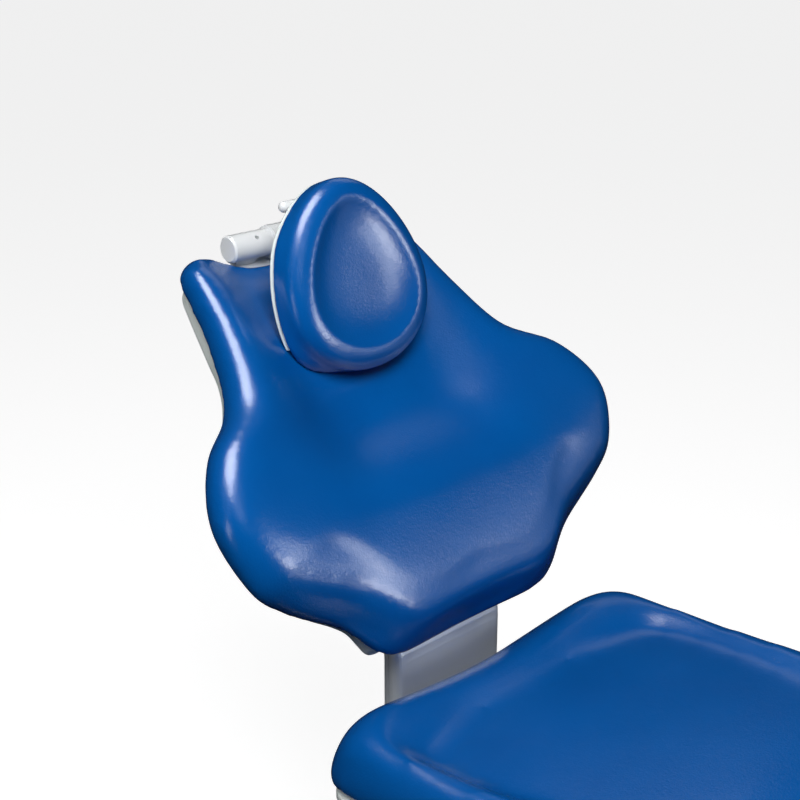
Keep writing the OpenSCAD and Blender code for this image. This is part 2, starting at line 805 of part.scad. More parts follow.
module lever_pin() {
    color("silver") {
        rod_x(lever_pin_r, 20, [0, lever_y, lever_z]);
        for (x = [-1, 1]) rod_x(lever_pin_r + 3, 1.5, [x * 20, lever_y, lever_z]);
    }
}

// screws through the rear of the shell into the board
module shell_screws() {
    color("silver") back_frame() at_shell_screws()
        translate([0, -0.7, 0]) rotate([-90, 0, 0]) socket_screw(3, 15, 7, 3);
}

// ---------- headrest ----------
bar_w = 132;
bar_t = 8;
bar_y = 22;
bar_low = -200;

module glide_track() {
    color("dimgray") glide_frame() {
        for (x = [-1, 1]) difference() {
            translate([x * (bar_w / 2 + 3) - 5, bar_y - 1, bar_low + 10]) cube([10, 11, 158]);
            translate([x < 0 ? -bar_w / 2 - clear : -1, bar_y - clear, bar_low - 20])
                cube([bar_w / 2 + 1 + clear, bar_t + 2 * clear, 240]);
        }
        translate([-bar_w / 2 - 8, bar_y + bar_t + 0.6, bar_low + 20]) cube([bar_w + 16, 2, 60]);
    }
}

module glide_bar() {
    color("whitesmoke") glide_frame() {
        translate([-bar_w / 2, bar_y, bar_low]) cube([bar_w, bar_t, -bar_low + 7]);
        for (x = [-1, 1]) bar_lug(x, 0, bar_y - 7);
    }
}

// block between the bar and a barrel half
module bar_lug(x, gap, depth) {
    translate([x * 59 - 17 - gap, 8, -14 - gap]) cube([34 + 2 * gap, depth, 20 + 2 * gap]);
}

hub_half = 24;
hub_r = 21;
pin_hole_x = 50;
barrel_pin_r = 8;
barrel_chamfer = 2.5;
hub_gap = 0.5;

module lower_barrel() {
    from = barrel_half - barrel_chamfer;
    to = hub_half + hub_gap;
    color("whitesmoke") difference() {
        // two tubes with chamfered ends, one on each side of the link's hub
        union() for (x = [-1, 1]) {
            rod_x(barrel_r, (from - to) / 2, pivot_a + [x * (from + to) / 2, 0, 0]);
            translate(pivot_a + [x * from, 0, 0]) rotate([0, x * 90, 0])
                cylinder(r1 = barrel_r, r2 = barrel_r - barrel_chamfer, h = barrel_chamfer);
        }
        rod_x(barrel_pin_r, barrel_half - 8, pivot_a);
        glide_frame() for (x = [-1, 1])
            translate([x * pin_hole_x, 0, 0]) rotate([93, 0, 0]) cylinder(r = 3, h = 30, $fn = 24);
        glide_frame() for (x = [-1, 1]) bar_lug(x, 0.2, 30);
    }
}

module barrel_pin() {
    color("silver") rod_x(barrel_pin_r, barrel_half - 8, pivot_a);
}

// two hubs joined by a flat arm, with lugs for the release lever
lug_z = 36;
lug_y = 17;
hub_b_r = 15;
hub_b_half = 28;

module link_frame() {
    translate(pivot_a) rotate([link_lean, 0, 0]) children();
}

module link_arm() {
    color("whitesmoke") difference() {
        union() {
            rod_x(hub_r, hub_half, pivot_a);
            rod_x(hub_b_r, hub_b_half, pivot_b);
            link_frame() translate([-23, -3, 0]) cube([46, 12, link_l]);
            link_frame() for (x = [-1, 1]) {
                rod_x(6, 2, [x * 21, lug_y, lug_z]);
                translate([x * 21 - 2, 0, lug_z - 6]) cube([4, lug_y, 12]);
            }
        }
        rod_x(barrel_pin_r + run_fit, 60, pivot_a);
        rod_x(6 + run_fit, 60, pivot_b);
        link_frame() rod_x(3 + run_fit, 40, [0, lug_y, lug_z]);
    }
}

// release lever: a paddle with a round cross bar behind the pad's top
grip = [0, back_y + 332, back_z + 420];
grip_half = 56;
grip_r = 7;

module release_lever() {
    c = pivot_a + [0, -lug_z * sin(link_lean) + lug_y * cos(link_lean),
                   lug_z * cos(link_lean) + lug_y * sin(link_lean)];
    reach = grip - c;
    color("whitesmoke") {
        rod_x(3, 23.5, c);
        rod_x(5.5, 18.7, c);
        rod_x(grip_r, grip_half - grip_r, grip);
        for (x = [-1, 1]) translate(grip + [x * (grip_half - grip_r), 0, 0]) sphere(grip_r);
        translate(c) rotate([-atan2(reach[1], reach[2]), 0, 0])
            translate([-15, -2.5, 0]) cube([30, 5, norm(reach)]);
    }
}

module link_pin() {
    color("silver") rod_x(6, upper_half - 2, pivot_b);
}

// pad frame: x across, y to the rear, z up the pad
pad_k = -0.18;
pad_loop = [for (a = [0:9:351]) [pad_a * cos(a) * (1 + pad_k * sin(a)), pad_b * sin(a)]];

function pad_ring(loop, y) = [for (p = loop) [p[0], y, p[1]]];
pad_shell_t = 5;
pad_shell_y = pad_t / 2 + 0.2;
pad_mid = [0, 0];
pad_r = 19;
pad_sink = 9;

function pad_inset(d, y) = pad_ring(inset_loop(pad_loop, pad_mid, d), y);
// the pad's rear outline stands out past its front outline, most at its lower corners
function bell(x, width) = exp(-pow(x / width, 2));
function pad_flare(p) =
    let (a = atan2(p[1], abs(p[0])))
    2 * bell(a - 30, 20) + 5 * bell(a + 46, 20);
pad_rear_loop = [for (p = pad_loop) p * (1 + pad_flare(p) / norm(p))];
function pad_rear(d, y) = pad_ring(inset_loop(pad_rear_loop, pad_mid, d), y);
function pad_scaled(k, y) = pad_ring(scaled_loop(pad_loop, pad_mid, k), y);

module headrest_pad() {
    front = -pad_t / 2;
    rear = pad_t / 2;
    face = [for (k = [0.02, 0.4, 0.7, 0.86]) pad_scaled(k, front + pad_sink * (1 - sstep(0.4, 0.86, k)))];
    edge = [for (d = [12, 6, 2, 0]) pad_inset(d, front + roll(pad_r, d))];
    back = [pad_rear(0, rear - 10), pad_rear(2, rear - 4), pad_rear(6, rear),
            pad_scaled(0.4, rear), pad_scaled(0.02, rear)];
    color([0, 0.31, 0.59]) pad_frame() ring_solid(concat(face, edge, back));
}

pad_screw_x = 40;
pad_screw_z = [-56, 30];

// the shell is cut short at the bottom, where the pad lies against the backrest
pad_shell_low = -70;
pad_shell_loop = [for (p = pad_rear_loop) [p[0], max(p[1], pad_shell_low)]];
function pad_shell_ring(d, y) = pad_ring(inset_loop(pad_shell_loop, pad_mid, d), y);

module pad_shell() {
    near = pad_shell_y;
    far = pad_shell_y + pad_shell_t;
    color("whitesmoke") pad_frame() difference() {
        ring_solid([pad_scaled(0.02, near), pad_shell_ring(5, near), pad_shell_ring(4, near + 1.5),
                    pad_shell_ring(6, near + 4), pad_shell_ring(11, far), pad_scaled(0.02, far)]);
        // pocket that the link's hub turns in
        translate([-30, near - 10, -pivot_low - 20]) cube([60, 30, 40]);
        for (x = [-1, 1], z = pad_screw_z)
            translate([x * pad_screw_x, near - 10, z]) rotate([-90, 0, 0]) cylinder(r = 2.7, h = 30);
    }
}

// split half-round housing on the pad's back that carries the upper pivot
upper_half = 66;
upper_gap = 30;

module upper_barrel() {
    l = upper_half - upper_gap;
    far = pad_shell_y + pad_shell_t;
    color("whitesmoke") pad_frame() difference() {
        union() for (x = [-1, 1]) translate([x * (upper_half + upper_gap) / 2, 0, 0]) {
            translate([-l / 2, far, -pivot_low - hub_b_r]) cube([l, pivot_back - far, 2 * hub_b_r]);
            rod_x(hub_b_r, l / 2, [0, pivot_back, -pivot_low]);
        }
        rod_x(6, upper_half - 2, [0, pivot_back, -pivot_low]);
        translate([-200, far - 60, -200]) cube([400, 60, 400]);
    }
}

module pad_screws() {
    color("silver") pad_frame() for (x = [-1, 1], z = pad_screw_z)
        translate([x * pad_screw_x, pad_shell_y + pad_shell_t, z]) rotate([-90, 0, 0])
            socket_screw(2.5, 4.5, 5, 2.5);
}

base_plate();
base_cover();
cover_screws();
column_tube();
column_bolts();
column_guide();
shroud_lower();
ram_cylinder();
pump_motor();
fluid_tank();
control_box();
power_inlet();
power_switch();
pedal_frame();
lift_pedal();
recline_pedal();
pedal_pins();
column_stage();
stage_guide();
ram_stage();
shroud_middle();
column_slide();
ram_rod();
shroud_upper();
seat_casting();
seat_rails();
rail_bolts();
hinge_pin();
seat_pan();
seat_cushion();
actuator_body();
actuator_clevis();
actuator_rod();
back_arm();
lever_pin();
arm_cover_front();
arm_cover_rear();
back_shell();
back_board();
back_cushion();
glide_track();
shell_screws();
glide_bar();
lower_barrel();
barrel_pin();
link_arm();
link_pin();
release_lever();
upper_barrel();
pad_shell();
pad_screws();
headrest_pad();
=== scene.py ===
import json
import math

import bmesh
import bpy
import numpy as np
from mathutils import Euler, Matrix, Vector


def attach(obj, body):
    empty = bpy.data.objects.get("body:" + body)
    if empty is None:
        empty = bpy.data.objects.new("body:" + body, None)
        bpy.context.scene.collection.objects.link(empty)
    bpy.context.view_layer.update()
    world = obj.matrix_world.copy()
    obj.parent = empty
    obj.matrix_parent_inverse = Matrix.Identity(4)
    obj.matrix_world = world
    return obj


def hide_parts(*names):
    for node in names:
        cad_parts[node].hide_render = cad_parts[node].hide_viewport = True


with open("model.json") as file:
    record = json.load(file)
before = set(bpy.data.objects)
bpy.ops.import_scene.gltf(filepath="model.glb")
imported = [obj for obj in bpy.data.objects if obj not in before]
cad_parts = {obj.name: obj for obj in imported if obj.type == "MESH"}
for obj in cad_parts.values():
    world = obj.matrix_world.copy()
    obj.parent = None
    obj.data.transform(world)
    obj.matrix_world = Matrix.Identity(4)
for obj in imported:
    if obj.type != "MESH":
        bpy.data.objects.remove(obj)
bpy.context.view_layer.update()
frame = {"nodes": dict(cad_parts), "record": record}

# ---------------------------------------------------------------- driving dimensions, in metres
RECLINE = math.radians(38.4)
BACK_O = Vector((0.0, 0.255, 0.670))
PAD_TILT = math.radians(17.0)
PAD_C = BACK_O + Vector((0.0, 0.264, 0.340))
BACK_T = 0.067
SHELL_D = 0.025
WALL = 0.004
TROUGH = 0.051
SHOULDER = 0.310
PAD_A = 0.109
PAD_B = 0.1185
PAD_T = 0.048
SEAT_T = 0.065
SEAT_HALF_W = 0.264
SEAT_REAR = Vector((0.0, 0.322, 0.565))
SEAT_TOE = -0.845
PAN_T = 0.022


# ---------------------------------------------------------------- small helpers
def sstep(a, b, x):
    t = np.clip((np.asarray(x, float) - a) / (b - a), 0.0, 1.0)
    return t * t * (3.0 - 2.0 * t)


def bell(x, width):
    return np.exp(-(np.asarray(x, float) / width) ** 2)


def roll(r, d):
    """Drop of a rolled edge of radius r at a distance d in from its outside."""
    inside = np.maximum(r - d, 0.0)
    return r - np.sqrt(np.maximum(r * r - inside * inside, 0.0))


def smooth_loop(half, steps):
    """Closed loop of Catmull-Rom points through a half outline and its mirror image."""
    half = [np.array(p, float) for p in half]
    pts = half + [p * np.array((-1.0, 1.0)) for p in half[-2:0:-1]]
    n = len(pts)
    out = []
    for i in range(n):
        a, b, c, d = (pts[(i + k) % n] for k in (-1, 0, 1, 2))
        for s in range(steps):
            t = s / steps
            out.append(0.5 * (2 * b + (c - a) * t + (2 * a - 5 * b + 4 * c - d) * t * t
                              + (3 * b - a - 3 * c + d) * t ** 3))
    return np.array(out)


def inset(loop, centre, d):
    """The loop drawn in towards its centre by one distance."""
    away = loop - centre
    rho = np.linalg.norm(away, axis=1)[:, None]
    return centre + away * (1.0 - d / rho)


def add_object(name, verts, faces, material, smooth=True):
    mesh = bpy.data.meshes.new(name)
    mesh.from_pydata([tuple(v) for v in verts], [], faces)
    mesh.validate()
    mesh.materials.append(material)
    bm = bmesh.new()
    bm.from_mesh(mesh)
    bmesh.ops.recalc_face_normals(bm, faces=bm.faces)
    bm.to_mesh(mesh)
    bm.free()
    if smooth:
        mesh.polygons.foreach_set("use_smooth", [True] * len(mesh.polygons))
    obj = bpy.data.objects.new(name, mesh)
    bpy.context.scene.collection.objects.link(obj)
    return obj


def ring_object(name, rings, material):
    """Closed skin through a stack of rings that all have the same number of points."""
    n = len(rings[0])
    verts = [p for ring in rings for p in ring]
    faces = []
    for k in range(len(rings) - 1):
        for i in range(n):
            j = (i + 1) % n
            faces.append((k * n + i, k * n + j, (k + 1) * n + j, (k + 1) * n + i))
    last = (len(rings) - 1) * n
    verts.append(np.mean(rings[0], axis=0))
    verts.append(np.mean(rings[-1], axis=0))
    top = len(verts) - 2
    for i in range(n):
        j = (i + 1) % n
        faces.append((j, i, top))
        faces.append((last + i, last + j, top + 1))
    return add_object(name, verts, faces, material)


def frame_matrix(origin, lean):
    """Local frame that leans back about X: x across, y to the rear, z up the cushion."""
    return Matrix.Translation(origin) @ Matrix.Rotation(-lean, 4, "X")


def transformed(matrix, points):
    m = np.array(matrix)
    return np.asarray(points) @ m[:3, :3].T + m[:3, 3]


# faces that meet at more than this stay sharp where a box was cut out
SHARP_ANGLE = math.radians(40.0)


def apply_modifiers(obj):
    deps = bpy.context.evaluated_depsgraph_get()
    mesh = bpy.data.meshes.new_from_object(obj.evaluated_get(deps))
    obj.modifiers.clear()
    obj.data = mesh
    mesh.polygons.foreach_set("use_smooth", [True] * len(mesh.polygons))


def carve(obj, matrix, low, high):
    """Cut a box, given by two corners in a local frame, out of an object."""
    corners = [(x, y, z) for x in (low[0], high[0])
               for y in (low[1], high[1]) for z in (low[2], high[2])]
    faces = [(0, 1, 3, 2), (4, 6, 7, 5), (0, 4, 5, 1), (2, 3, 7, 6), (0, 2, 6, 4), (1, 5, 7, 3)]
    corners = transformed(matrix, corners)
    cutter = add_object("cutter", corners, faces, obj.data.materials[0], smooth=False)
    cut = obj.modifiers.new("cut", "BOOLEAN")
    cut.operation = "DIFFERENCE"
    cut.solver = "EXACT"
    cut.object = cutter
    apply_modifiers(obj)
    obj.data.set_sharp_from_angle(angle=SHARP_ANGLE)
    bpy.data.objects.remove(cutter)


def coords(obj):
    flat = np.empty(len(obj.data.vertices) * 3)
    obj.data.vertices.foreach_get("co", flat)
    return flat.reshape(-1, 3)


def spread(obj, field, rounds):
    """Average a per-vertex field over each vertex's neighbours, some rounds over."""
    pairs = np.empty(len(obj.data.edges) * 2, dtype=np.int64)
    obj.data.edges.foreach_get("vertices", pairs)
    ends = np.concatenate([pairs, pairs.reshape(-1, 2)[:, ::-1].ravel()]).reshape(-1, 2)
    count = np.bincount(ends[:, 0], minlength=len(field))[:, None] + 1.0
    for _ in range(rounds):
        sums = [np.bincount(ends[:, 0], field[ends[:, 1], k], len(field)) for k in range(3)]
        total = np.stack(sums, axis=1)
        field = (total + field) / count
    return field


def set_coords(obj, points):
    obj.data.vertices.foreach_set("co", np.asarray(points, float).ravel())
    obj.data.update()


# ---------------------------------------------------------------- materials
class Nodes:
    """Short way to wire a procedural material."""

    def __init__(self, name):
        self.mat = bpy.data.materials.new(name)
        self.mat.use_nodes = True
        self.tree = self.mat.node_tree
        self.bsdf = self.tree.nodes["Principled BSDF"]
        self.coord = self.tree.nodes.new("ShaderNodeTexCoord").outputs["Object"]
        self.last_bump = None

    def add(self, kind, **inputs):
        node = self.tree.nodes.new(kind)
        for key, value in inputs.items():
            node.inputs[key.replace("_", " ")].default_value = value
        return node

    def link(self, out, into):
        self.tree.links.new(out, into)

    def noise(self, scale, detail=4.0, rough=0.55, distortion=0.0, stretch=None):
        node = self.add("ShaderNodeTexNoise", Scale=scale, Detail=detail, Roughness=rough,
                        Distortion=distortion)
        source = self.coord
        if stretch:
            mapping = self.tree.nodes.new("ShaderNodeMapping")
            mapping.inputs["Scale"].default_value = stretch
            self.link(self.coord, mapping.inputs["Vector"])
            source = mapping.outputs["Vector"]
        self.link(source, node.inputs["Vector"])
        return node.outputs["Fac"]

    def ramp(self, value, low, high, v0, v1):
        node = self.add("ShaderNodeMapRange", From_Min=low, From_Max=high, To_Min=v0, To_Max=v1)
        self.link(value, node.inputs["Value"])
        return node.outputs["Result"]

    def mix(self, fac, a, b):
        node = self.tree.nodes.new("ShaderNodeMix")
        node.data_type = "RGBA"
        node.inputs[6].default_value = (*a, 1.0)
        node.inputs[7].default_value = (*b, 1.0)
        self.link(fac, node.inputs[0])
        return node.outputs[2]

    def bump(self, height, strength, distance):
        node = self.add("ShaderNodeBump", Strength=strength, Distance=distance)
        self.link(height, node.inputs["Height"])
        if self.last_bump:
            self.link(self.last_bump, node.inputs["Normal"])
        self.last_bump = node.outputs["Normal"]
        self.link(self.last_bump, self.bsdf.inputs["Normal"])

    def colour(self, out):
        self.link(out, self.bsdf.inputs["Base Color"])

    def roughness(self, out):
        self.link(out, self.bsdf.inputs["Roughness"])

    def set(self, **inputs):
        for key, value in inputs.items():
            self.bsdf.inputs[key.replace("_", " ")].default_value = value
        return self


def vinyl():
    m = Nodes("blue_vinyl")
    tone = m.ramp(m.noise(6.0, 3.0), 0.35, 0.65, 0.0, 1.0)
    m.colour(m.mix(tone, (0.000, 0.079, 0.315), (0.000, 0.089, 0.345)))
    m.roughness(m.ramp(m.noise(9.0, 5.0), 0.3, 0.7, 0.20, 0.27))
    m.bump(m.noise(400.0, 3.0, 0.6), 0.36, 0.0007)
    m.bump(m.noise(75.0, 6.0, 0.60, 1.2), 0.10, 0.0022)
    m.set(Coat_Weight=0.12, Coat_Roughness=0.10, Specular_IOR_Level=0.45)
    return m.mat


def moulded(name, low, high, rough, peel=0.10, scale=420.0, coat=0.0, metallic=0.0):
    m = Nodes(name)
    m.colour(m.mix(m.ramp(m.noise(5.0, 4.0), 0.35, 0.65, 0.0, 1.0), low, high))
    m.roughness(m.ramp(m.noise(14.0, 6.0), 0.3, 0.7, rough - 0.05, rough + 0.07))
    m.bump(m.noise(scale, 3.0), peel, 0.0004)
    m.set(Coat_Weight=coat, Coat_Roughness=0.12, Metallic=metallic)
    return m.mat


def metal(name, low, high, rough, stretch=(1.0, 1.0, 24.0), grain=0.08):
    m = Nodes(name)
    streak = m.noise(60.0, 5.0, 0.6, 0.0, stretch)
    m.colour(m.mix(m.ramp(streak, 0.35, 0.65, 0.0, 1.0), low, high))
    m.roughness(m.ramp(streak, 0.3, 0.7, rough - 0.06, rough + 0.10))
    m.bump(streak, grain, 0.0003)
    m.set(Metallic=1.0)
    return m.mat


def rubber():
    m = Nodes("pedal_rubber")
    tone = m.ramp(m.noise(40.0, 5.0), 0.35, 0.65, 0.0, 1.0)
    m.colour(m.mix(tone, (0.022, 0.022, 0.024), (0.045, 0.044, 0.044)))
    m.roughness(m.ramp(m.noise(30.0, 5.0), 0.3, 0.7, 0.55, 0.75))
    m.bump(m.noise(900.0, 3.0), 0.3, 0.0004)
    return m.mat


def plywood():
    m = Nodes("plywood")
    grain = m.noise(18.0, 7.0, 0.6, 1.2, (1.0, 9.0, 9.0))
    m.colour(m.mix(m.ramp(grain, 0.35, 0.65, 0.0, 1.0), (0.34, 0.20, 0.10), (0.60, 0.42, 0.24)))
    m.roughness(m.ramp(grain, 0.3, 0.7, 0.55, 0.7))
    m.bump(grain, 0.2, 0.0006)
    return m.mat


MATS = {
    "blue_vinyl": vinyl(),
    "white_plastic": moulded("white_plastic", (0.72, 0.78, 0.76), (0.77, 0.82, 0.80), 0.34, coat=0.1),
    "grey_plastic": moulded("grey_plastic", (0.76, 0.81, 0.87), (0.80, 0.85, 0.91), 0.50, metallic=0.60),
    "white_metal": moulded("white_metal", (0.74, 0.76, 0.77), (0.80, 0.82, 0.83), 0.28,
                           0.06, 300.0, 0.25),
    "painted_steel": moulded("painted_steel", (0.10, 0.11, 0.12), (0.14, 0.15, 0.16), 0.48, 0.25, 700.0),
    "cast_aluminium": metal("cast_aluminium", (0.46, 0.47, 0.48), (0.56, 0.57, 0.58), 0.48,
                            (1.0, 1.0, 1.0), 0.3),
    "bright_steel": metal("bright_steel", (0.58, 0.59, 0.60), (0.70, 0.71, 0.72), 0.22),
    "zinc_fasteners": metal("zinc_fasteners", (0.52, 0.53, 0.54), (0.68, 0.69, 0.70), 0.30),
    "blue_steel": moulded("blue_steel", (0.03, 0.06, 0.11), (0.04, 0.08, 0.14), 0.35, 0.1, 500.0, 0.2),
    "bearing_plastic": moulded("bearing_plastic", (0.66, 0.63, 0.54), (0.74, 0.71, 0.62), 0.5),
    "black_plastic": moulded("black_plastic", (0.012, 0.012, 0.013), (0.022, 0.022, 0.024), 0.48,
                             0.3, 900.0),
    "tank_plastic": moulded("tank_plastic", (0.68, 0.68, 0.62), (0.76, 0.76, 0.70), 0.45),
    "red_plastic": moulded("red_plastic", (0.30, 0.010, 0.008), (0.38, 0.016, 0.012), 0.3, 0.05),
    "pedal_rubber": rubber(),
    "plywood": plywood(),
}

SLOT_OF = {part["node"]: part["material_slot"] for part in frame["record"]["subparts"]}
for node_name, node_obj in frame["nodes"].items():
    node_obj.data.materials.clear()
    node_obj.data.materials.append(MATS[SLOT_OF[node_name]])


# ---------------------------------------------------------------- cushions
def puff(obj, voxel, pressure, cap, keep, relaxing=26, frames=20):
    """Remesh a cushion, swell it with cloth pressure, hold the vertices that keep() names.

    The swelling is limited to cap, and spread a little so that the weave of the mesh does not show.
    """
    remesh = obj.modifiers.new("remesh", "REMESH")
    remesh.mode = "VOXEL"
    remesh.voxel_size = voxel
    apply_modifiers(obj)
    relax = obj.modifiers.new("relax", "SMOOTH")
    relax.factor = 0.5
    relax.iterations = relaxing
    apply_modifiers(obj)
    start = coords(obj).copy()
    held = keep(start)
    group = obj.vertex_groups.new(name="held")
    group.add([int(i) for i in np.nonzero(held > 0.5)[0]], 1.0, "REPLACE")
    cloth = obj.modifiers.new("cloth", "CLOTH")
    cfg = cloth.settings
    cfg.quality = 5
    cfg.mass = 0.4
    cfg.tension_stiffness = 18.0
    cfg.compression_stiffness = 18.0
    cfg.shear_stiffness = 8.0
    cfg.bending_stiffness = 6.0
    cfg.use_pressure = True
    cfg.uniform_pressure_force = pressure
    cfg.vertex_group_mass = "held"
    cfg.effector_weights.gravity = 0.0
    cloth.collision_settings.use_self_collision = False
    scene = bpy.context.scene
    scene.frame_start = 1
    scene.frame_end = frames
    for f in range(1, frames + 1):
        scene.frame_set(f)
    deps = bpy.context.evaluated_depsgraph_get()
    swollen = bpy.data.meshes.new_from_object(obj.evaluated_get(deps))
    flat = np.empty(len(swollen.vertices) * 3)
    swollen.vertices.foreach_get("co", flat)
    bpy.data.meshes.remove(swollen)
    obj.modifiers.clear()
    scene.frame_set(1)
    move = spread(obj, flat.reshape(-1, 3) - start, 12)
    size = np.linalg.norm(move, axis=1)[:, None] + 1e-9
    set_coords(obj, start + move * (cap * np.tanh(size / cap) / size))
    obj.vertex_groups.clear()
    fine = obj.modifiers.new("fine", "SUBSURF")
    fine.levels = 1
    fine.render_levels = 1
    apply_modifiers(obj)


BACK_MATRIX = frame_matrix(BACK_O, RECLINE)
BACK_C = np.array((0.0, 0.250))
BACK_HALF = [(0, -0.008), (0.055, -0.009), (0.100, -0.011), (0.130, -0.009), (0.148, -0.001),
             (0.161, 0.011), (0.179, 0.031), (0.201, 0.050), (0.233, 0.067), (0.270, 0.088),
             (SHOULDER - 0.006, 0.120), (SHOULDER + 0.010, 0.198), (SHOULDER - 0.024, 0.270),
             (0.223, 0.323), (0.193, 0.403), (0.179, 0.477), (0.169, 0.512), (0.128, 0.529),
             (0.060, 0.507), (0, 0.506)]
BACK_LOOP = smooth_loop(BACK_HALF, 10)


def back_crown(w, v):
    """How far the cushion's surface stands in front of its own plane."""
    return 0.266 * w * w - 0.46 * (v - 0.214) ** 2


def back_hollow(w, v):
    """Valley between the side bolsters that the headrest pad lies in."""
    return TROUGH * sstep(0.142, 0.290, v) / (1.0 + np.abs(w / 0.140) ** 5)


def back_ring(loop, depth, hollow=0.0):
    """The loop laid on the crowned surface at a depth behind it, with a share of the valley."""
    w, v = loop[:, 0], loop[:, 1]
    y = -back_crown(w, v) + hollow * back_hollow(w, v) + depth
    return np.stack([w, y, v], axis=1)


def hump(a, b, c, d, v):
    """Rises from 0 to 1 over a to b, and falls again over c to d."""
    return sstep(a, b, v) * (1.0 - sstep(c, d, v))


class BackEdge:
    """Sizes of the cushion's rolled edge at each point of its outline.

    The edge is bevelled along the bottom, between its two corners, rounder on the two lobes beside
    it, and tucked under at the rear so that the shell's rim shows.
    """

    low = 1.0 - sstep(0.06, 0.20, BACK_LOOP[:, 1])
    middle = low * (1.0 - sstep(0.150, 0.215, np.abs(BACK_LOOP[:, 0])))
    lobe = low - middle
    corner = middle * bell(np.abs(BACK_LOOP[:, 0]) - 0.148, 0.034)
    roll_width = 0.034 + 0.006 * lobe + 0.012 * corner
    roll_depth = 0.030 + 0.012 * lobe + 0.022 * middle
    chamfer = middle + 0.3 * lobe
    skirt_width = 0.070 + 0.010 * lobe
    skirt_depth = 0.005 + 0.012 * lobe
    tuck = 0.002 + 0.012 * low * bell(np.abs(BACK_LOOP[:, 0]) - 0.185, 0.050) \
        + 0.020 * hump(0.05, 0.12, 0.26, 0.33, BACK_LOOP[:, 1])
    tuck_depth = 0.006 + 0.018 * hump(0.05, 0.12, 0.26, 0.33, BACK_LOOP[:, 1])


def inset_by(loop, centre, d):
    """Like inset, with its own distance for each point."""
    away = loop - centre
    return centre + away * (1.0 - d / np.linalg.norm(away, axis=1))[:, None]


# how softly the bevel turns into the face, as a share of the bevel
BEND = 0.42


def back_front(u, beyond=0.0):
    """One ring of the front: u runs over the roll from the outline in, beyond goes further in."""
    e = BackEdge
    d = e.roll_width * u + beyond
    t = max(1.0 - u, 0.0)
    bent = (math.hypot(t, BEND) - BEND) / (math.hypot(1.0, BEND) - BEND)
    rolled = e.roll_depth * (e.chamfer * bent + (1.0 - e.chamfer) * (1.0 - math.sqrt(1.0 - t * t)))
    skirt = e.skirt_depth * np.maximum(1.0 - d / e.skirt_width, 0.0) ** 2
    hollow = 0.55 + 0.45 * float(sstep(0.0, 0.6, u))
    return back_ring(inset_by(BACK_LOOP, BACK_C, d), rolled + skirt, hollow)


def back_rear(t):
    """One ring of the rolled rear edge; t runs from the side wall to the flat rear."""
    e = BackEdge
    angle = t * math.pi / 2
    loop = inset_by(BACK_LOOP, BACK_C, e.tuck * (1.0 - math.cos(angle)))
    return back_ring(loop, BACK_T - e.tuck_depth * (1.0 - math.sin(angle)))


def back_cushion():
    """Butterfly cushion with a valley at the top that the headrest pad lies in."""
    rings = []
    fields = 20
    deepest = 0.088
    for k in range(1, fields):
        loop = inset_by(BACK_LOOP, BACK_C, BackEdge.roll_width + deepest)
        loop = BACK_C + (loop - BACK_C) * (k / fields)
        rings.append(back_ring(loop, 0.0, 1.0))
    for beyond in np.linspace(deepest, 0.006, 14):
        rings.append(back_front(1.0, beyond))
    for u in (1.0, 0.87, 0.74, 0.62, 0.50, 0.40, 0.30, 0.22, 0.15, 0.09, 0.045, 0.015, 0.0):
        rings.append(back_front(u))
    for t in np.linspace(0.0, 1.0, 7):
        rings.append(back_rear(t))
    base = inset(BACK_LOOP, BACK_C, 0.032)
    for k in np.linspace(1.0, 0.04, 14):
        rings.append(back_ring(BACK_C + (base - BACK_C) * k, BACK_T))
    rings = [transformed(BACK_MATRIX, ring) for ring in rings]
    obj = ring_object("back_cushion_cover", rings, MATS["blue_vinyl"])
    inverse = np.array(BACK_MATRIX.inverted())

    def keep(points):
        local = points @ inverse[:3, :3].T + inverse[:3, 3]
        depth = local[:, 1] + back_crown(local[:, 0], local[:, 2])
        return (depth > BACK_T - 0.006).astype(float)

    puff(obj, 0.0055, 3.0, 0.0025, keep)
    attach(obj, "backrest")
    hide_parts("back_cushion")


SHELL_HALF = [(0, 0.007), (0.070, 0.007), (0.112, 0.006), (0.136, 0.005), (0.148, 0.009), (0.156, 0.022),
              (0.166, 0.039), (0.184, 0.054), (0.220, 0.077), (SHOULDER - 0.050, 0.112),
              (SHOULDER - 0.033, 0.160), (SHOULDER - 0.032, 0.212), (SHOULDER - 0.064, 0.270),
              (0.205, 0.324), (0.187, 0.362), (0.180, 0.403), (0.169, 0.460), (0.157, 0.496),
              (0.126, 0.510), (0.060, 0.493), (0, 0.493)]
SHELL_LOOP = smooth_loop(SHELL_HALF, 8)
# distance in from the outline, and depth behind the cushion
SHELL_OUTER = [(0.0020, -0.0010), (0.0006, -0.0004), (0.0, 0.0010), (0.0, 0.0185), (0.0004, 0.0208),
               (0.0014, 0.0226), (0.0030, 0.0238), (0.0060, 0.0244), (0.016, 0.0247), (0.036, SHELL_D)]
SHELL_INNER = [(0.036, SHELL_D - WALL), (0.012, SHELL_D - WALL - 0.001), (0.0055, 0.016),
               (0.0050, 0.010), (0.0050, 0.001), (0.0045, -0.0006)]
# half width of the glide bar's slot, and how far up the shell it starts
BAR_SLOT = (0.076, 0.455)


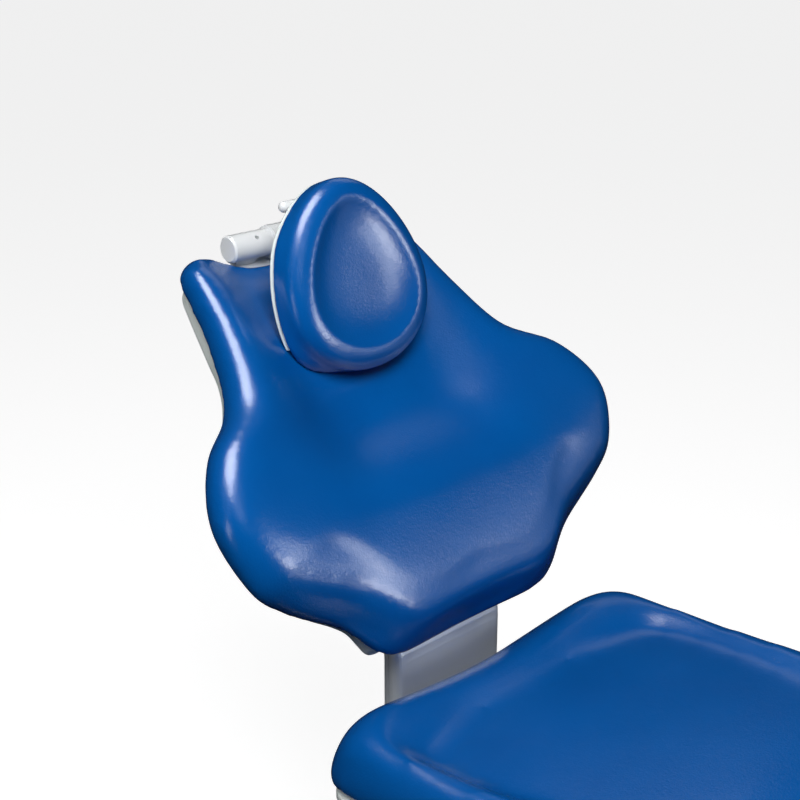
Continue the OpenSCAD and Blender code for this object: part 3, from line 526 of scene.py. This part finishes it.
def back_shell():
    """Moulded tray behind the cushion, with a small rear corner and a slot for the glide bar."""
    near = BACK_T + 0.0008

    def sheet(d, depth, steps):
        loop = inset(SHELL_LOOP, BACK_C, d)
        return [back_ring(BACK_C + (loop - BACK_C) * k, near + depth) for k in steps]

    rings = sheet(*SHELL_INNER[0], (0.05, 0.4, 0.75))
    for d, depth in SHELL_INNER + SHELL_OUTER:
        rings.extend(sheet(d, depth, (1.0,)))
    rings.extend(sheet(*SHELL_OUTER[-1], np.linspace(0.85, 0.05, 9)))
    rings = [transformed(BACK_MATRIX, ring) for ring in rings]
    obj = ring_object("back_shell_moulding", rings, MATS["white_plastic"])
    half, low = BAR_SLOT
    carve(obj, BACK_MATRIX, (-half, BACK_T - 0.010, low), (half, BACK_T + 0.060, low + 0.2))
    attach(obj, "backrest")
    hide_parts("back_shell")


# ---------------------------------------------------------------- headrest pad
PAD_MATRIX = frame_matrix(PAD_C, PAD_TILT)
PAD_O = np.array((0.0, 0.0))
PAD_K = -0.18
ANGLES = np.linspace(0.0, 2.0 * math.pi, 145)[:-1]
PAD_LOOP = np.stack([PAD_A * np.cos(ANGLES) * (1.0 + PAD_K * np.sin(ANGLES)),
                     PAD_B * np.sin(ANGLES)], axis=1)


def flat_ring(loop, y):
    return np.stack([loop[:, 0], np.full(len(loop), y), loop[:, 1]], axis=1)


def pad_flare():
    """How far the pad's rear outline stands out past its front outline, most at the lower corners."""
    a = np.degrees(np.arctan2(PAD_LOOP[:, 1], np.abs(PAD_LOOP[:, 0])))
    return -0.001 + 0.003 * bell(a - 30.0, 20.0) + 0.011 * bell(a + 46.0, 20.0)


def pad_ring(d, y, flare=0.0):
    rho = np.linalg.norm(PAD_LOOP, axis=1)
    away = 1.0 + (flare * pad_flare() - d) / rho
    return flat_ring(PAD_LOOP * away[:, None], y)


def headrest_pad():
    """Pad with a raised oval ridge near its rim and a dished middle."""
    r = 0.021
    rim = 0.027
    front = -PAD_T / 2
    sink = 0.013
    rings = []
    inner = inset(PAD_LOOP, PAD_O, rim)
    for k in np.linspace(0.04, 0.98, 26):
        rings.append(flat_ring(inner * k, front + sink * (1.0 - k ** 3.6)))
    for d in np.concatenate([np.linspace(rim, 0.006, 9), [0.004, 0.0025, 0.0012, 0.0004, 0.0]]):
        rings.append(pad_ring(d, front + float(roll(r, d))))
    back = PAD_T / 2
    for t in (0.25, 0.5, 0.75, 1.0):
        side = front + r + t * (back - front - r - 0.006)
        rings.append(pad_ring(0.0, side, float(sstep(0.0, 1.0, t))))
    for d, y in ((0.0004, back - 0.003), (0.002, back - 0.001), (0.006, back - 0.0002)):
        rings.append(pad_ring(d, y, 1.0))
    for k in np.linspace(0.8, 0.04, 8):
        rings.append(flat_ring(PAD_LOOP * k, back - 0.0002))
    rings = [transformed(PAD_MATRIX, ring) for ring in rings]
    obj = ring_object("headrest_pad_cover", rings, MATS["blue_vinyl"])
    inverse = np.array(PAD_MATRIX.inverted())

    def keep(points):
        local = points @ inverse[:3, :3].T + inverse[:3, 3]
        return (local[:, 1] > back - 0.004).astype(float)

    puff(obj, 0.0032, 3.0, 0.0015, keep, 6)
    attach(obj, "headrest")
    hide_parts("headrest_pad")


PAD_SHELL_T = 0.005
PAD_SHELL_LOW = -0.072
PIVOT_LOW = 0.025
# half width and half height of the pocket for the link
POCKET = (0.030, 0.020)
# distance in from the outline, and depth behind the shell's front face
PAD_SHELL_RIM = [(0.0030, 0.0), (0.0015, 0.0006), (0.0010, 0.0018), (0.0014, 0.0032), (0.0030, 0.0044),
                 (0.0070, PAD_SHELL_T)]


def pad_shell():
    """Moulded back of the headrest pad, flush with the pad's rear edge, with a pocket for the link."""
    near = PAD_T / 2 + 0.0002
    far = near + PAD_SHELL_T
    rings = [flat_ring(PAD_LOOP * k, near) for k in (0.05, 0.5, 0.85)]
    for d, depth in PAD_SHELL_RIM:
        rings.append(pad_ring(d, near + depth, 1.0))
    rings.extend(flat_ring(PAD_LOOP * k, far) for k in (0.85, 0.5, 0.05))
    for ring in rings:
        ring[:, 2] = np.maximum(ring[:, 2], PAD_SHELL_LOW)
    rings = [transformed(PAD_MATRIX, ring) for ring in rings]
    obj = ring_object("headrest_pad_shell", rings, MATS["white_plastic"])
    half, reach = POCKET
    low = (-half, near - 0.010, -PIVOT_LOW - reach)
    high = (half, far + 0.010, -PIVOT_LOW + reach)
    carve(obj, PAD_MATRIX, low, high)
    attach(obj, "headrest")
    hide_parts("pad_shell")


# ---------------------------------------------------------------- seat
SEAT_C = np.array((0.0, -0.260))
CREST = (-0.140, SEAT_REAR.z + 0.0567)
SEAT_HALF = [(0, SEAT_REAR.y), (0.110, SEAT_REAR.y + 0.005), (0.200, SEAT_REAR.y - 0.003),
             (SEAT_HALF_W - 0.015, SEAT_REAR.y - 0.024), (SEAT_HALF_W, SEAT_REAR.y - 0.068),
             (SEAT_HALF_W + 0.001, 0.150), (SEAT_HALF_W - 0.003, 0.0), (SEAT_HALF_W - 0.010, -0.150),
             (SEAT_HALF_W - 0.025, -0.350), (SEAT_HALF_W - 0.043, -0.550),
             (SEAT_HALF_W - 0.064, -0.720), (SEAT_HALF_W - 0.092, SEAT_TOE + 0.040),
             (0.110, SEAT_TOE + 0.009), (0, SEAT_TOE)]
SEAT_LOOP = smooth_loop(SEAT_HALF, 10)


def seat_z(y):
    """Height of the cushion's rim along the chair."""
    y = np.asarray(y, float)
    k = np.where(y > CREST[0], 0.0255, 0.0165)
    return CREST[1] - k * (np.sqrt(1.0 + ((y - CREST[0]) / 0.150) ** 2) - 1.0)


def seat_ring(loop, drop):
    """The loop laid at a distance below the rim line."""
    return np.stack([loop[:, 0], loop[:, 1], seat_z(loop[:, 1]) - drop], axis=1)


def seat_lift(loop, d):
    """Raised rear corners of the border, a few millimetres above the rest."""
    x, y = np.abs(loop[:, 0]), loop[:, 1]
    corner = 0.014 * bell(x - 0.205, 0.085) * bell(y - 0.265, 0.110)
    rear = 0.003 * sstep(0.20, 0.29, y)
    return (corner + rear) * float(sstep(0.0, 0.02, d))


SEAT_ROLL = 0.054
SEAT_DISH = 0.020
SEAT_CREASE = 0.110
SEAT_SLOPE_FROM = 0.048


def seat_border(d):
    """The border falls evenly to the crease where the flat sunken middle starts."""
    t = min(max((d - SEAT_SLOPE_FROM) / (SEAT_CREASE - SEAT_SLOPE_FROM), 0.0), 1.0)
    return SEAT_DISH * t ** 1.3


def seat_cushion():
    """One long cushion with a raised border and a sunken middle."""
    rings = []
    floor = inset(SEAT_LOOP, SEAT_C, SEAT_CREASE)
    for k in np.linspace(0.03, 1.0, 34)[:-1]:
        rings.append(seat_ring(SEAT_C + (floor - SEAT_C) * k, SEAT_DISH))
    for d in np.concatenate([np.linspace(SEAT_CREASE, 0.010, 24), [0.007, 0.0045, 0.0025, 0.001, 0.0]]):
        loop = inset(SEAT_LOOP, SEAT_C, d)
        rings.append(seat_ring(loop, seat_border(d) + float(roll(SEAT_ROLL, d)) - seat_lift(loop, d)))
    for drop in (0.047, 0.053, SEAT_T - 0.006):
        rings.append(seat_ring(SEAT_LOOP, drop))
    for d, drop in ((0.002, SEAT_T - 0.003), (0.006, SEAT_T - 0.001), (0.012, SEAT_T)):
        rings.append(seat_ring(inset(SEAT_LOOP, SEAT_C, d), drop))
    base = inset(SEAT_LOOP, SEAT_C, 0.012)
    for k in np.linspace(0.95, 0.03, 20):
        rings.append(seat_ring(SEAT_C + (base - SEAT_C) * k, SEAT_T))
    obj = ring_object("seat_cushion_cover", rings, MATS["blue_vinyl"])

    def keep(points):
        return (seat_z(points[:, 1]) - points[:, 2] > SEAT_T - 0.006).astype(float)

    puff(obj, 0.0075, 3.0, 0.003, keep)
    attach(obj, "seat")
    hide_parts("seat_cushion")


# distance in from the outline, and depth below the pan's top
PAN_EDGE = [(0.0135, 0.0), (0.012, 0.0015), (0.012, 0.008), (0.014, 0.013), (0.019, 0.0175),
            (0.026, 0.0205), (0.034, 0.0212)]


def seat_pan():
    """Moulded tray under the cushion."""
    top = SEAT_T + 0.0006
    rings = []
    edge = inset(SEAT_LOOP, SEAT_C, 0.012)
    for k in np.linspace(0.05, 0.95, 10):
        rings.append(seat_ring(SEAT_C + (edge - SEAT_C) * k, top))
    for d, drop in PAN_EDGE:
        rings.append(seat_ring(inset(SEAT_LOOP, SEAT_C, d), top + drop))
    low = inset(SEAT_LOOP, SEAT_C, 0.034)
    for k in np.linspace(0.95, 0.05, 14):
        rings.append(seat_ring(SEAT_C + (low - SEAT_C) * k, SEAT_T + PAN_T))
    obj = ring_object("seat_pan_moulding", rings, MATS["white_plastic"])
    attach(obj, "seat")
    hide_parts("seat_pan")


# ---------------------------------------------------------------- backdrop, light and camera
def backdrop_material(name, glow):
    m = Nodes(name)
    m.colour(m.mix(m.noise(3.0, 2.0), (0.45, 0.45, 0.45), (0.48, 0.48, 0.48)))
    m.set(Roughness=0.9, Emission_Color=(1.0, 1.0, 1.0, 1.0), Emission_Strength=glow)
    return m.mat


def camera_only(obj):
    """Seen by the camera, but not in any reflection and without any light on the chair."""
    obj.visible_diffuse = False
    obj.visible_glossy = False
    obj.visible_transmission = False
    obj.visible_shadow = False


def backdrop():
    """A pale floor with a pale dome behind it; the studio's air is dark, as round a product shot."""
    size = 60.0
    corners = [(-size, -size, 0), (size, -size, 0), (size, size, 0), (-size, size, 0)]
    pale = backdrop_material("studio_floor", 0.86)
    floor = add_object("studio_floor", corners, [(0, 1, 2, 3)], pale, smooth=False)
    camera_only(floor)
    bpy.ops.mesh.primitive_uv_sphere_add(segments=48, ring_count=24, radius=size - 5.0)
    dome = bpy.context.object
    dome.name = "studio_dome"
    dome.data.materials.append(backdrop_material("studio_dome", 0.95))
    camera_only(dome)


def softbox(name, aim, direction, distance, size, radiance, along=(0.0, 0.0, 1.0),
            diffuse=True, gloss=True):
    """Area light that hangs at a distance from its aim, its long side along a direction."""
    width, length = size
    light = bpy.data.lights.new(name, "AREA")
    light.shape = "RECTANGLE"
    light.size = width
    light.size_y = length
    light.energy = radiance * math.pi * width * length
    obj = bpy.data.objects.new(name, light)
    away = Vector(direction).normalized()
    side = Vector(along).cross(away).normalized()
    up = away.cross(side)
    turn = Matrix((side, up, away)).transposed().to_4x4()
    obj.matrix_world = Matrix.Translation(Vector(aim) + away * distance) @ turn
    obj.visible_diffuse = diffuse
    obj.visible_glossy = gloss
    bpy.context.scene.collection.objects.link(obj)


def lights():
    """A broad key for the colours, and narrow lamps that only show as highlights."""
    world = bpy.data.worlds.new("studio")
    bpy.context.scene.world = world
    world.use_nodes = True
    world.node_tree.nodes["Background"].inputs["Color"].default_value = (0.80, 0.86, 1.0, 1.0)
    world.node_tree.nodes["Background"].inputs["Strength"].default_value = 0.015
    aim = (0.0, 0.40, 0.88)
    softbox("key_box", aim, (-0.40, -0.54, 0.74), 2.2, (1.2, 1.2), 12.0, gloss=False)
    softbox("left_fill", aim, (-0.80, 0.15, 0.60), 2.6, (1.6, 1.2), 3.7, gloss=False)
    softbox("top_box", aim, (-0.30, 0.14, 0.94), 2.2, (1.4, 1.4), 15.0, (0.0, 1.0, 0.0), diffuse=False)
    softbox("bulge_box", aim, (0.25, -0.96, 0.05), 2.6, (0.75, 0.75), 14.0, diffuse=False)
    softbox("dish_box", aim, (0.47, -0.85, 0.23), 2.6, (0.7, 0.8), 6.0, diffuse=False)
    softbox("left_edge", aim, (-0.98, 0.02, 0.02), 2.4, (0.16, 1.0), 9.0, diffuse=False)
    softbox("arm_card", aim, (0.66, -0.74, 0.0), 2.4, (1.6, 1.6), 0.45, diffuse=False)
    softbox("seat_card", aim, (0.60, 0.44, 0.66), 2.4, (1.2, 0.9), 0.8, diffuse=False)


def camera():
    cam = bpy.data.cameras.new("camera")
    cam.lens = 63.0
    cam.sensor_width = 36.0
    obj = bpy.data.objects.new("camera", cam)
    obj.location = BACK_O + Vector((-1.116, -0.9676, 0.793))
    obj.rotation_euler = Euler((math.radians(90.0 - 20.4), 0.0, math.radians(-44.2)))
    bpy.context.scene.collection.objects.link(obj)
    bpy.context.scene.camera = obj


back_cushion()
back_shell()
headrest_pad()
pad_shell()
seat_cushion()
seat_pan()
backdrop()
lights()
camera()
bpy.context.scene.view_settings.view_transform = "Standard"
